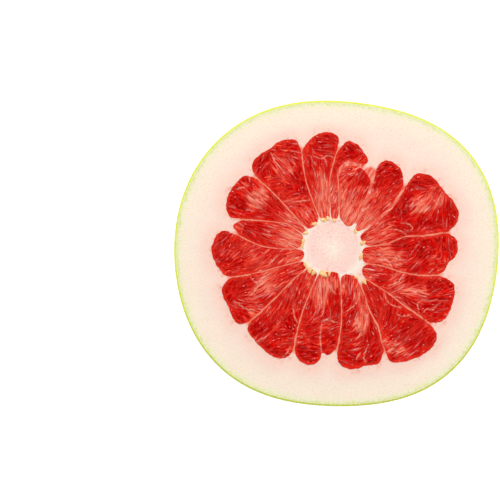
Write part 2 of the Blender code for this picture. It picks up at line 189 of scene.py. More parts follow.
def bands(lower, upper, count):
    # quads between two rings of count points; they face out where the rings run anticlockwise, upper above
    step = np.arange(count)
    after = (step + 1) % count
    return np.column_stack((lower + step, lower + after, upper + after, upper + step)).tolist()


def fan(middle, first, count, turned=False):
    # triangles between a ring and its middle point; turned ones face down
    step = np.arange(count)
    ends = [first + step, first + (step + 1) % count]
    if turned:
        ends.reverse()
    return np.column_stack((np.full(count, middle), *ends)).tolist()


def stacked(count, rings):
    return [face for step in range(rings - 1) for face in bands(step * count, (step + 1) * count, count)]


def buildMesh(name, points, faces, material, values):
    # points in millimetres about the core's axis; values are named numbers, one for each point
    mesh = bpy.data.meshes.new(name)
    placed = (np.asarray(points) + np.array((*fruit["corePlace"], 0.0))) * mm
    mesh.from_pydata(placed.tolist(), [], faces)
    mesh.validate()
    mesh.shade_smooth()
    mesh.set_sharp_from_angle(angle=math.radians(fruit["sharpAngle"]))
    for label, numbers in values.items():
        numbers = np.asarray(numbers, np.float32)
        kind, field = ("FLOAT", "value") if numbers.ndim == 1 else ("FLOAT_VECTOR", "vector")
        mesh.attributes.new(label, kind, "POINT").data.foreach_set(field, numbers.ravel())
    mesh.materials.append(material)
    return added(name, mesh)


def ripple(points, size, seed, count=7):
    # a gentle random swell from -1 to 1 over flat points; size is about the width of one swell
    random = np.random.default_rng(seed)
    total = np.zeros(len(points))
    for _ in range(count):
        turn = random.uniform(0, math.tau)
        pace = math.tau / (size * random.uniform(0.8, 1.9))
        start = random.uniform(0, math.tau)
        total += np.sin(points @ np.array((math.cos(turn), math.sin(turn))) * pace + start)
    return total / math.sqrt(count * 1.2)


def smooth(low, high, value):
    share = np.clip((np.asarray(value) - low) / (high - low), 0, 1)
    return share * share * (3 - 2 * share)


# shader sums written as sums


class Wire:
    def __init__(self, finish, socket):
        self.finish = finish
        self.socket = socket

    def maths(self, kind, first, second):
        return self.finish.node("ShaderNodeMath", {"operation": kind}, {0: first, 1: second})

    def __add__(self, other):
        return self.maths("ADD", self, other)

    def __radd__(self, other):
        return self.maths("ADD", other, self)

    def __sub__(self, other):
        return self.maths("SUBTRACT", self, other)

    def __rsub__(self, other):
        return self.maths("SUBTRACT", other, self)

    def __mul__(self, other):
        return self.maths("MULTIPLY", self, other)

    def __rmul__(self, other):
        return self.maths("MULTIPLY", other, self)


class Finish:
    # one material with its nodes
    def __init__(self, name, constants):
        self.material = bpy.data.materials.new(name)
        self.material.use_nodes = True
        self.tree = self.material.node_tree
        self.shader = self.tree.nodes["Principled BSDF"]
        self.give(self.shader, constants)

    def give(self, node, inputs):
        for key, value in inputs.items():
            if isinstance(value, Wire):
                self.tree.links.new(value.socket, node.inputs[key])
            else:
                node.inputs[key].default_value = value

    def node(self, kind, settings, inputs, output=0):
        # settings go first, because some of them change the sockets
        node = self.tree.nodes.new(kind)
        for key, value in settings.items():
            if key == "stops":
                ramp = node.color_ramp.elements
                while len(ramp) < len(value):
                    ramp.new(0.5)
                for stop, (place, colour) in zip(ramp, value):
                    stop.position = place
                    stop.color = colour
            else:
                setattr(node, key, value)
        self.give(node, inputs)
        return Wire(self, node.outputs[output])

    def number(self, label, output="Fac"):
        return self.node("ShaderNodeAttribute", {"attribute_name": label}, {}, output)

    def place(self, label):
        return self.number(label, "Vector")

    def stretch(self, place, factors):
        return self.node("ShaderNodeVectorMath", {"operation": "MULTIPLY"}, {0: place, 1: factors})

    def noise(self, place, scale, detail=2.0, roughness=0.5):
        inputs = {"Vector": place, "Scale": scale, "Detail": detail, "Roughness": roughness}
        return self.node("ShaderNodeTexNoise", {}, inputs, "Fac")

    def mask(self, value, low, high):
        # 0 below low, 1 above high, and the other way round where low is the larger
        inputs = {"Value": value, "From Min": low, "From Max": high}
        return self.node("ShaderNodeMapRange", {"interpolation_type": "SMOOTHSTEP"}, inputs)

    def ramp(self, value, stops):
        return self.node("ShaderNodeValToRGB", {"stops": stops}, {"Fac": value}, "Color")

    def mix(self, share, first, second):
        settings = {"data_type": "RGBA", "clamp_factor": True}
        return self.node("ShaderNodeMix", settings, {0: share, 6: first, 7: second}, 2)

    def cover(self, share, colour):
        # another layer over the colour so far
        self.colour = self.mix(share, self.colour, colour)

    def bump(self, height, strength, distance):
        inputs = {"Height": height, "Strength": strength, "Distance": distance}
        return self.node("ShaderNodeBump", {}, inputs, "Normal")

    def use(self, inputs):
        self.give(self.shader, {"Base Color": self.colour, **inputs})
        return self.material


# the bowl that the skin and the pith share

skin = {
    "around": 480,
    "outerRings": 130,
    "roll": 0.45,  # broad unevenness, as in the solid
    "dimples": 0.16,  # finer unevenness
    # the cut edge's rounding: how far in, how far down, and how far across the rind
    "rim": ((0, 0.5, 0.0), (0.03, 0.2, 0.05), (0.12, 0.05, 0.2), (0.3, 0, 0.35), (0.7, 0, 0.65),
            (1.05, 0, 0.9)),
    "dimpleRadius": 4.4,
    "dimpleDepth": 0.8,
    "scarRadius": 1.7,
    "scarDepth": 0.35,
    "glandSpacing": 1.25,
    "haloReach": (3.0, 13.0),
    "scarReach": (1.1, 2.6),
    **tints(
        green=(216, 221, 50), light=(230, 232, 100), dark=(190, 198, 28), glandDot=(172, 182, 14),
        # the second cut-edge colour is the same rim darkened as painted shade
        halo=(236, 230, 120), scar=(226, 150, 122), cutEdge=(228, 234, 58), cutShade=(196, 204, 38),
        cutInner=(240, 240, 184),
    ),
}


def rimRadius(angle):
    waves = sum(
        height * np.cos((number + 1) * (angle - math.radians(crest)))
        for number, (height, crest) in enumerate(fruit["rimWaves"])
    )
    return fruit["rimRadius"] - fruit["setBack"] + waves


def ringAngles():
    return np.arange(skin["around"]) * math.tau / skin["around"]


def bowlRing(turn, depthIn=0.0, lowest=0.0, roll=0.0):
    # one ring of the bowl; turn is 0 at the pole and 90 at the cut, depthIn is how far in from the surface
    angle = ringAngles()
    reach = rimRadius(angle)
    power = fruit["bowlPower"]
    across = math.sin(math.radians(turn)) ** (2 / power)
    down = max(math.cos(math.radians(turn)), 0.0) ** (2 / power)
    fullDepth = fruit["cutHeight"] + fruit["flattenedBy"]
    outward = across ** (power - 1) / reach
    downward = down ** (power - 1) / fullDepth
    size = np.hypot(outward, downward)
    swell = roll * across * down * (
        np.sin(3 * angle + 4 * across) + np.sin(7 * angle - 9 * across) + 0.7 * np.sin(13 * angle + 11 * down)
    )
    if roll:
        fine = np.sin(21 * angle + 17 * across) * np.sin(19 * down - 9 * angle)
        fine = fine + np.sin(34 * angle - 23 * down)
        swell = swell - skin["dimples"] * across * down * (1.5 + fine)
    distance = reach * across - (depthIn - swell) * outward / size
    height = fruit["cutHeight"] - fullDepth * down + (depthIn - swell) * downward / size
    if turn >= 90:
        height = np.full(len(angle), fruit["cutHeight"])
    return np.column_stack((distance * np.cos(angle), distance * np.sin(angle), np.maximum(height, lowest)))


def flatSpotTurn():
    # the turn at which the bowl meets the table
    down = fruit["cutHeight"] / (fruit["cutHeight"] + fruit["flattenedBy"])
    across = (1 - down ** fruit["bowlPower"]) ** (1 / fruit["bowlPower"])
    return math.degrees(math.asin(across ** (fruit["bowlPower"] / 2)))


def blossomHeight(radius):
    # the dimple in the flat spot, with the flower's scar in its middle
    wall = 1 - smooth(skin["scarRadius"], skin["dimpleRadius"], radius)
    knob = 1 - smooth(0.2, skin["scarRadius"], radius)
    return skin["dimpleDepth"] * wall - (skin["dimpleDepth"] - skin["scarDepth"]) * knob


def skinMaterial():
    finish = Finish("pomeloSkin", {
        "IOR": 1.4,
        "Subsurface Weight": 0.12,
        "Subsurface Radius": (1.0, 0.8, 0.2),
        "Subsurface Scale": 0.0012,
        "Coat Roughness": 0.35,
        "Coat IOR": 1.4,
    })
    place = finish.place("rest")
    patches = finish.noise(place, 0.06, 3.0, 0.55)
    mottle = finish.noise(place, 0.35, 4.0, 0.6)
    wander = finish.node("ShaderNodeTexNoise", {}, {"Vector": place, "Scale": 0.5, "Detail": 1.0}, "Color")
    drift = finish.stretch(wander, (1.1, 1.1, 1.1))
    moved = finish.node("ShaderNodeVectorMath", {"operation": "ADD"}, {0: place, 1: drift})
    glands = finish.node("ShaderNodeTexVoronoi", {"feature": "F1"}, {
        "Vector": moved, "Scale": 1 / skin["glandSpacing"], "Randomness": 0.8,
    })
    gland = finish.mask(glands, 0.5, 0.22)
    edge = finish.number("edge")
    scar = finish.number("scar")
    finish.colour = finish.mix(finish.mask(patches, 0.38, 0.66), skin["green"], skin["light"])
    finish.cover(finish.mask(mottle, 0.5, 0.74) * 0.5, skin["dark"])
    finish.cover(finish.number("halo") * 0.6, skin["halo"])
    finish.cover(gland * (0.5 + 0.3 * mottle), skin["glandDot"])
    finish.cover(scar, skin["scar"])
    # painted shade: the rim's colour grows darker towards -Y, the side turned from the main lights
    height = finish.node("ShaderNodeSeparateXYZ", {}, {0: place}, "Y")
    dots = finish.noise(place, 1.3, 2.0, 0.6)
    shade = finish.mask(height + 60 * (dots - 0.5), -5.0, -70.0)
    rim = finish.mix(shade, skin["cutEdge"], skin["cutShade"])
    finish.cover(finish.mask(edge, 0.02, 0.3), rim)
    finish.cover(finish.mask(edge + 0.9 * (dots - 0.5), 0.5, 1.0), skin["cutInner"])
    pits = finish.noise(place, 3.2, 2.0, 0.6)
    relief = finish.bump(0.6 * pits - gland, 0.45, 0.00016)
    return finish.use({
        "Roughness": 0.4 + 0.22 * mottle,
        "Coat Weight": 0.12 + 0.1 * patches,
        "Normal": relief,
    })


def makeSkin():
    start = flatSpotTurn()
    angle = ringAngles()
    rings = []
    edges = []
    for radius in np.linspace(0.25, 9.6, 24):
        height = np.full(len(angle), blossomHeight(radius))
        rings.append(np.column_stack((radius * np.cos(angle), radius * np.sin(angle), height)))
        edges.append(0.0)
    turns = np.linspace(start, 90, skin["outerRings"] + 1)
    for turn in turns[:-1]:
        rings.append(bowlRing(turn, roll=skin["roll"] * min((turn - start) / 8, 1) + 1e-6))
        edges.append(0.0)
    last = bowlRing(90)
    radial = last[:, :2] / np.hypot(*last[:, :2].T)[:, None]
    for inward, drop, edge in skin["rim"]:
        ring = last.copy()
        ring[:, :2] -= radial * inward
        ring[:, 2] -= drop
        rings.append(ring)
        edges.append(edge)
    rings.append(bowlRing(90, fruit["skinThickness"]))
    edges.append(1.0)
    for turn in np.linspace(90, start, 15)[1:]:
        rings.append(bowlRing(turn, fruit["skinThickness"], fruit["skinFloor"]))
        edges.append(1.0)
    count = skin["around"]
    faces = stacked(count, len(rings))
    points = np.vstack(rings + [[(0, 0, skin["scarDepth"])], [(0, 0, fruit["skinFloor"])]])
    middle, inner = len(points) - 2, len(points) - 1
    away = np.hypot(points[:, 0], points[:, 1])
    top = (len(rings) - 1) * count
    faces += fan(middle, 0, count, True) + fan(inner, top, count)
    values = {
        "edge": np.concatenate((np.repeat(edges, count), [0.0, 1.0])),
        "scar": 1 - smooth(*skin["scarReach"], away),
        "halo": 1 - smooth(*skin["haloReach"], away),
        "rest": points,
    }
    piece = buildMesh("pomelo_skin", points, faces, skinMaterial(), values)
    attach(piece, "root")
    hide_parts("skin")


# the sixteen segments: how the juice sacs run across the cut.
# a stream is a place from the core, the sacs' direction there, how pale they are, their length and width

flesh = {
    "spacing": 0.28,
    "edgeSpacing": 0.34,
    "sink": 0.05,  # the flesh lies a little under the septa
    "swell": 0.3,
    "highest": 0.8,  # over the cut, which keeps it under the solids' top
    "sacRise": 0.3,  # a sac's rise or hollow, as a share of its width
    "sacGap": 1.42,  # how close two sacs' middles may come, in half sacs
    "tries": 9000,  # places tried for each segment's sacs
    "lengthScale": 1.25,
    "widthScale": 1.5,
    "wander": 0.3,
    "palerInside": 0.15,  # how much paler the sacs' stalks are by the core
    "wallWidth": 0.12,
    # loose strokes along the sacs: square millimetres for each, width, and fewest and most steps each way
    "threads": (26.0, 0.2, (6, 22)),
    # glints are painted highlights: short white strokes painted into the flesh's colour
    "glints": (20.0, 0.17, (2, 8)),
    "strokeStep": 0.35,
    "strokeRise": 0.1,
    "veinWidth": 0.24,
    "veinRise": 0.2,
    **tints(
        deep=(182, 0, 0), red=(210, 0, 0), warm=(221, 22, 12), salmon=(236, 76, 50), pale=(246, 128, 100),
        # the glint colour is a painted highlight
        palest=(250, 178, 152), wall=(236, 76, 54), border=(232, 52, 32), glint=(255, 222, 210),
    ),
}

streams = {
    1: ((-4, 51, -15, .12, 6, 1), (-5, 45, -10, .2, 5, .8), (-13, 43.5, 100, .3, 5, .9),
        (-6, 41, 110, .3, 4, .8), (-6, 31, 100, .78, 10, .6), (-4.4, 21, 98, .72, 10, .6),
        (-12, 30, 112, .25, 8, .8), (-1, 35, 85, .3, 8, .8)),
    2: ((7.9, 46.8, -30, .15, 2.8, 1.3), (13.2, 41.8, 30, .35, 3, 1.2), (2, 38, 60, .2, 3, .8),
        (1.4, 32, 62, .5, 7, .7), (1.4, 22.4, 76, .6, 9, .6), (.3, 16, 82, .35, 7, .7)),
    3: ((7.9, 37, 25, .62, 5, 1.1), (8.9, 26.7, 56, .5, 9, .7), (6.8, 16, 63, .65, 9, .7),
        (14.5, 33.5, 50, .2, 5, .8), (4.5, 27, 70, .7, 7, .7)),
    4: ((27, 38, 10, .18, 4, 1.6), (22.5, 33, 60, .1, 4, 1.3), (27.5, 29, 38, .35, 8, .8),
        (19.7, 21.3, 60, .55, 10, .7), (14.3, 11.7, 48, .65, 8, .6), (24, 18.5, 42, .4, 9, .7)),
    5: ((42, 31, -8, .1, 5, 1), (57, 16, 98, .12, 8, 1), (52, 13.8, 86, .12, 8, 1), (48, 22, 58, .6, 7, .6),
        (40.7, 20.3, 35, .85, 6, .8), (32, 19.2, 80, 0, 4, 2), (35, 24, 60, .1, 5, 1.2),
        (41, 12, 60, .12, 4, 1.4), (22, 8.4, 32, .5, 8, .8), (26, 5.4, 18, .45, 8, .8),
        (34, 9, 10, .2, 5, 1), (47.7, 8, 5, .15, 6, 1.2)),
    6: ((19, -3, -8, .5, 8, .8), (24, -1.5, 5, .7, 8, .6), (31, -5, -15, .65, 5, .8), (32, 2, 8, .1, 7, 1),
        (40, -2, 50, .15, 4, 1.2), (54.5, -1, 100, .22, 5, 2.2), (40, -10, 40, .2, 6, .9),
        (51, -10, 20, .4, 4, 1.4)),
    7: ((20, -12.3, -12, .4, 8, .9), (23.6, -15.7, -10, .1, 7, 1), (30, -16.6, 35, .6, 5, .8),
        (38.6, -22, -8, .85, 9, .6), (38.6, -15.7, 40, .15, 5, 1.2), (53.7, -18, 30, .15, 4, 1.2),
        (49.4, -31, 10, .25, 4, 1.3), (36.5, -27.3, -40, .2, 6, 1), (54.5, -24, 0, .3, 4, 1.4)),
    8: ((34, -43, 38, .16, 9, .7), (47, -47, 50, .1, 9, .8), (28, -53.5, 30, .15, 5, 1.2),
        (29, -50.5, 30, .8, 3, 1.2), (48, -40, 35, .35, 6, 1), (28, -31, 70, .25, 6, .8),
        (21, -28.6, 110, .35, 8, .8), (19, -22, 115, .3, 8, .7), (35.6, -28.6, -20, .3, 7, .9)),
    9: ((6.4, -54.4, -20, .15, 6, 1.3), (20, -52, 45, .15, 5, 1.5), (10.7, -49.7, 25, .4, 5, .9),
        (13.3, -37, 76, .9, 9, .7), (5.5, -41.5, 10, .15, 5, .9), (5.5, -35, 60, .15, 4, 1),
        (19.3, -39, 105, .1, 7, 1.1), (6.4, -18.3, 85, .5, 8, 1), (6.8, -27.7, 60, .2, 5, 1.2),
        (13.7, -24, 95, .6, 9, .7)),
    10: ((-12.3, -51, -5, .15, 7, 1.3), (-12.3, -43.3, 5, .3, 6, .9), (-11.5, -37, 30, .35, 4, .9),
        (-2.4, -46, 20, .2, 6, 1), (-1.6, -39, 20, .4, 5, .8), (-6.4, -26.2, 85, .7, 10, .6),
        (-12.3, -28.2, 70, .2, 8, .9), (-.4, -27.4, 92, .1, 8, 1.2), (-4.4, -18.2, 85, .75, 9, .6),
        (.4, -16.6, 88, .35, 7, .9)),
    11: ((-25.5, -51, 10, .1, 7, 1.2), (-25.5, -44.5, 12, .25, 7, .8), (-36.3, -37.3, 50, .1, 5, 1.3),
        (-31.5, -41.3, 45, .3, 6, .8), (-27.5, -34, 58, .4, 7, .7), (-20.3, -37.3, 125, .1, 4, 1.4),
        (-17.5, -24.2, 66, .45, 8, .6), (-23.5, -28.2, 58, .25, 6, .8), (-14.3, -26.2, 80, .3, 6, 1),
        (-10.3, -15, 65, .35, 7, .9)),
    12: ((-48.3, -18.2, 60, .1, 3, 1.1), (-44.3, -33.3, 140, .2, 3.5, 1.2), (-33.5, -20.2, 28, .85, 8, .6),
        (-40.3, -26, -5, .5, 6, .7), (-32.3, -25.4, 40, .1, 5, 1.2), (-21.5, -11.4, 26, .35, 9, .8),
        (-37, -30, -10, .6, 5, .8), (-41.5, -15.8, 20, .25, 6, .9)),
    13: ((-54.7, -1, 55, .15, 6, .9), (-45.5, -1.4, 50, .35, 7, .6), (-37, -4.2, 25, .5, 7, .7),
        (-27.5, -4.6, 36, .35, 8, .8), (-19.5, -3.4, 20, .45, 7, .9), (-52.7, -11.4, 10, .25, 5, 1.2),
        (-42.7, -11, 16, .3, 8, .8)),
    14: ((-46, 10.8, 150, .5, 5, .9), (-39.5, 10.4, 170, .1, 5, 1.2), (-30, 8.4, 163, .45, 8, .6),
        (-18.7, 3.6, 158, .75, 9, .6), (-38, 4.8, 145, .25, 6, .9)),
    15: ((-48.7, 20.8, 160, .12, 3, 1.2), (-42, 31.6, 140, .28, 4, 1.3), (-36, 22.8, 148, .8, 8, .6),
        (-26.7, 21.6, 135, .1, 8, .9), (-22, 14, 145, .55, 9, .6), (-34.7, 14.8, 170, .15, 7, .9)),
    16: ((-22, 49.5, -5, .3, 5, .8), (-36.3, 38.8, 65, .1, 4, 1.3), (-24, 36.4, 133, .6, 7, .6),
        (-15.2, 31.6, 110, 0, 4, 1.7), (-28, 29.2, 14, .3, 6, .8), (-20, 22.8, 10, .35, 3.5, .8),
        (-12, 14.8, 125, .45, 6, .9)),
}

# the folded inner walls and torn skins that stand out on some segments, as lines of places
veins = {
    5: (((32.1, 11.4), (35.4, 11.4), (38, 9.3), (37.1, 7.6)), ((26, 8.4), (31.2, 8.2), (35.4, 5.4)),
        ((52, 25.9), (49.8, 21.3), (48.2, 17.6))),
    6: (((22.5, -4.2), (26.5, -7), (28.5, -11)), ((29, -3.4), (31, -6.4), (29.8, -4.2), (33.5, -5.6))),
    7: (((41.2, -32), (40.4, -27.7), (42, -26), (45, -25.4)),
        ((43, -32), (44.7, -29.9), (47.7, -30.3), (49.4, -28.2), (51.6, -26.7)),
        ((26, -19), (31, -16.6), (35, -13.5))),
    8: (((24.4, -21.7), (26.2, -26.4), (30, -28.6), (33.8, -28.6)), ((30, -32), (33, -33.4), (37.7, -32.5)),
        ((28, -49.5), (31.2, -50.6), (29.2, -51.9))),
    9: (((12.8, -20.8), (11.6, -26), (7.7, -29.9), (4.3, -32)), ((17, -47), (14.7, -52), (15.4, -56)),
        ((10.7, -54), (13.3, -50.4))),
    10: (((-2, -16.6), (-.8, -20.6), (1.6, -23)), ((-5.6, -36), (-6.4, -44), (-5.6, -52)),
        ((-4, -35), (.5, -36), (2, -37))),
    11: (((-19.5, -28.2), (-18.7, -34), (-17.1, -36.5)), ((-23, -52), (-20.5, -47.5)),
        ((-37, -46), (-31, -42))),
    12: (((-48, -26), (-42, -29.8), (-37, -30)), ((-40, -14.5), (-36.5, -19), (-41, -24))),
    13: (((-26.3, -3.4), (-28.7, -5.8), (-31.9, -9.4)), ((-23.5, -5), (-26.7, -8.2))),
    15: (((-40.7, 34), (-40.3, 30.8)), ((-47, 28), (-43, 28.8))),
    16: (((-30.3, 45.6), (-28, 40.8), (-27.1, 38)), ((-22, 21), (-16, 22), (-11, 22.6))),
    1: (((-9.5, 43.8), (-6, 42.6), (-2.5, 44), (0, 42.8)),),
}


def meshArrays(name):
    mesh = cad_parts[name].data
    points = np.empty(len(mesh.vertices) * 3, np.float32)
    mesh.vertices.foreach_get("co", points)
    mesh.calc_loop_triangles()
    corners = np.empty(len(mesh.loop_triangles) * 3, np.int32)
    mesh.loop_triangles.foreach_get("vertices", corners)
    placed = points.reshape(-1, 3) / mm - np.array((*fruit["corePlace"], 0.0))
    return placed, corners.reshape(-1, 3)


def solidOutline(name):
    # the top edge of a solid segment, anticlockwise: where its upper face meets its walls
    points, triangles = meshArrays(name)
    spots, number = np.unique(np.round(points, 2), axis=0, return_inverse=True)
    triangles = number.reshape(-1)[triangles]
    height = fruit["cutHeight"] - fruit["outlineDrop"]
    onRing = np.abs(spots[:, 2] - height) < 0.02
    following = {}
    for triangle in triangles:
        ring = [corner for corner in triangle if onRing[corner]]
        low = [corner for corner in triangle if spots[corner, 2] < height - 5]
        if len(ring) == 2 and len(low) == 1:
            following.setdefault(ring[0], []).append(ring[1])
            following.setdefault(ring[1], []).append(ring[0])
    start = min(following)
    order = [start]
    previous = None
    while True:
        ahead = [spot for spot in following[order[-1]] if spot != previous]
        previous = order[-1]
        if ahead[0] == start or len(order) > len(following):
            break
        order.append(ahead[0])
    outline = spots[order, :2]
    return outline if area(outline) > 0 else outline[::-1]


def pocketOutline(number):
    outline = closedCurve(solidOutline(f"segment_{number:02d}"))
    outline = evenly(grown(evenly(outline, 0.5), fruit["pocketGap"]), flesh["edgeSpacing"])
    waver = fruit["pocketWaver"] * np.clip(1 + ripple(outline, 3.5, 500 + number), 0, 2.2)
    dent = np.clip(np.abs(ripple(outline, 4.0, 600 + number)), 0, 1)
    notch = fruit["lobeNotch"] * smooth(30, 48, np.hypot(*outline.T)) * (1 - dent) ** 2
    return evenly(grown(outline, -(waver + notch)[:, None]), flesh["edgeSpacing"])


def pocketWalls(outline):
    # the rings below a pocket's mouth, which draw in towards the core
    distance = np.hypot(*outline.T)
    walls = []
    for level in fruit["fleshLevels"]:
        shrink = (1 - level ** fruit["fleshPower"]) ** (1 / fruit["fleshPower"])
        reach = fruit["coreRadius"] + (distance - fruit["coreRadius"]) * shrink
        height = np.full(len(outline), fruit["cutHeight"] - fruit["fleshDepth"] * level)
        walls.append(np.column_stack((outline * (reach / distance)[:, None], height)))
    return walls


def filled(flat, outline):
    # triangles over the inside of an outline, whose points come first
    faces = flatTriangles(flat, loopEdges(0, len(outline)))
    return faces[within(flat[faces].mean(axis=1), outline)]


def readStreams(points, number):
    # the sacs' direction, paleness, length and width at each point, blended from the segment's streams
    table = np.array(streams[number], float)
    gap = ((points[:, None] - table[None, :, :2]) ** 2).sum(axis=2)
    share = (gap + 3.0) ** -2.2
    share /= share.sum(axis=1)[:, None]
    lean = np.radians(table[:, 2]) * 2
    direction = 0.5 * np.arctan2(share @ np.sin(lean), share @ np.cos(lean))
    return direction, share @ table[:, 3], share @ table[:, 4], share @ table[:, 5]


def growSacs(outline, number, random):
    # the middles of the sacs, thrown at random and kept where they don't crowd each other
    low, high = outline.min(axis=0), outline.max(axis=0)
    tries = random.uniform(low, high, (flesh["tries"], 2))
    tries = tries[within(tries, outline)]
    direction, pale, length, width = readStreams(tries, number)
    direction = direction + random.normal(0, 0.09, len(tries))
    size = random.uniform(0.75, 1.3, len(tries))
    halfLength = length * flesh["lengthScale"] * size / 2
    halfWidth = width * flesh["widthScale"] * random.uniform(0.75, 1.3, len(tries)) / 2
    kept = []
    for index in range(len(tries)):
        if kept:
            gap = tries[index] - tries[kept]
            along = gap[:, 0] * math.cos(direction[index]) + gap[:, 1] * math.sin(direction[index])
            across = gap[:, 1] * math.cos(direction[index]) - gap[:, 0] * math.sin(direction[index])
            apart = np.hypot(
                along * 2 / (halfLength[index] + halfLength[kept]),
                across * 2 / (halfWidth[index] + halfWidth[kept]),
            )
            if apart.min() < flesh["sacGap"]:
                continue
        kept.append(index)
    return tries[kept], direction[kept], halfLength[kept], halfWidth[kept]


def strokesAlong(points, outline, number, kind, random):
    # loose pale strokes that follow the streams: how near each point is to one. The glints kind are painted
    # highlights.
    share, width, steps = flesh[kind]
    low, high = outline.min(axis=0), outline.max(axis=0)
    starts = random.uniform(low, high, (int((high - low).prod() / share), 2))
    starts = starts[within(starts, outline)]
    drift = random.normal(0, 0.12, len(starts))
    strength = random.uniform(0.25, 1.0, len(starts))
    length = random.integers(*steps, len(starts))
    halves = []
    for way in (1, -1):
        place = starts.copy()
        heading = None
        track = []
        for step in range(steps[1]):
            direction = readStreams(place, number)[0] + drift
            ahead = np.column_stack((np.cos(direction), np.sin(direction))) * way
            if heading is not None:
                ahead *= np.sign((ahead * heading).sum(axis=1) + 1e-9)[:, None]
            heading = ahead
            place = place + ahead * flesh["strokeStep"]
            track.append(place)
        halves.append(np.stack(track, axis=1))
    mask = np.zeros(len(points))
    for index in range(len(starts)):
        half = length[index]
        line = np.vstack((halves[1][index, :half][::-1], starts[index:index + 1], halves[0][index, :half]))
        addStroke(mask, points, line, width, strength[index])
    return mask


def addStroke(mask, points, line, width, strength):
    # raises the mask along a line of places, which fades at both ends
    fade = np.sin(np.linspace(0.05, 0.95, len(line)) * math.pi) ** 0.6 * strength
    close = closeTo(points, line, 0.7)
    if len(close):
        gap = ((points[close][:, None] - line[None]) ** 2).sum(axis=2)
        near = (np.exp(-gap / width ** 2) * fade).max(axis=1)
        mask[close] = np.maximum(mask[close], near)


def fleshSurface(points, outline, number, random):
    # the height of the cut flesh over its own edge, and what its colour needs at each point
    middles, direction, halfLength, halfWidth = growSacs(outline, number, random)
    moved = points + flesh["wander"] * np.column_stack((
        ripple(points, 6.0, 100 + number), ripple(points, 6.0, 200 + number)
    ))
    gap = moved[:, None] - middles[None]
    along = gap[..., 0] * np.cos(direction) + gap[..., 1] * np.sin(direction)
    across = gap[..., 1] * np.cos(direction) - gap[..., 0] * np.sin(direction)
    reach = np.hypot(along / halfLength, across / halfWidth)
    nearest = np.argsort(reach, axis=1)[:, :2]
    row = np.arange(len(points))
    owner = nearest[:, 0]
    first, second = reach[row, owner], reach[row, nearest[:, 1]]
    toWall = (second - first) / 2 * np.minimum(halfWidth[owner], 0.9)
    wall = np.exp(-(toWall / flesh["wallWidth"]) ** 2)
    inside = smooth(0, 0.45, toWall)
    rise = random.uniform(-1.0, 1.0, len(middles)) * halfWidth * 2 * flesh["sacRise"]
    seam = random.uniform(0.0, 1.0, len(middles))
    thread = strokesAlong(points, outline, number, "threads", random)
    # painted highlights: short glint strokes, painted white into the colour and raised a little
    shine = strokesAlong(points, outline, number, "glints", random)
    tone = random.uniform(-1.0, 1.0, len(middles))
    pale = readStreams(points, number)[1]
    pale = pale + flesh["palerInside"] * (1 - smooth(17, 32, np.hypot(*points.T)))
    edge = distanceTo(points, outline)
    vein = np.zeros(len(points))
    for line in veins.get(number, ()):
        track = openCurve(line)
        track = track + 0.16 * np.column_stack((ripple(track, 1.2, 700), ripple(track, 1.2, 701)))
        addStroke(vein, points, track, flesh["veinWidth"], 1.0)
    vein *= 0.35 + 0.65 * smooth(-0.8, 0.6, ripple(points, 2.0, 702))
    height = (
        -flesh["sink"] * smooth(0, 1, edge)
        + flesh["swell"] * ripple(points, 9.0, 300 + number) * smooth(0, 4, edge)
        + 0.2 * (pale - 0.45) * smooth(0.3, 4, edge)
        + rise[owner] * inside * smooth(0.2, 1.2, edge)
        + flesh["veinRise"] * vein * smooth(0, 1, edge)
        + flesh["strokeRise"] * (thread + shine) * smooth(0, 1, edge)
    )
    values = {
        "pale": pale,
        "tone": tone[owner],
        "wall": wall * (0.25 + 0.75 * np.maximum(seam[owner], seam[nearest[:, 1]])),
        "thread": thread,
        # painted highlights, fainter where the flesh is deep red
        "shine": shine * (0.3 + 0.7 * smooth(0.15, 0.6, pale)),
        "vein": vein,
        "border": edge,
        "outer": 0.9 * smooth(34, 50, np.hypot(*points.T)),
        "rest": np.column_stack((points, np.zeros(len(points)))),
        "grain": np.column_stack((along[row, owner], across[row, owner], owner * 3.7)),
    }
    return np.minimum(height, flesh["highest"]), values


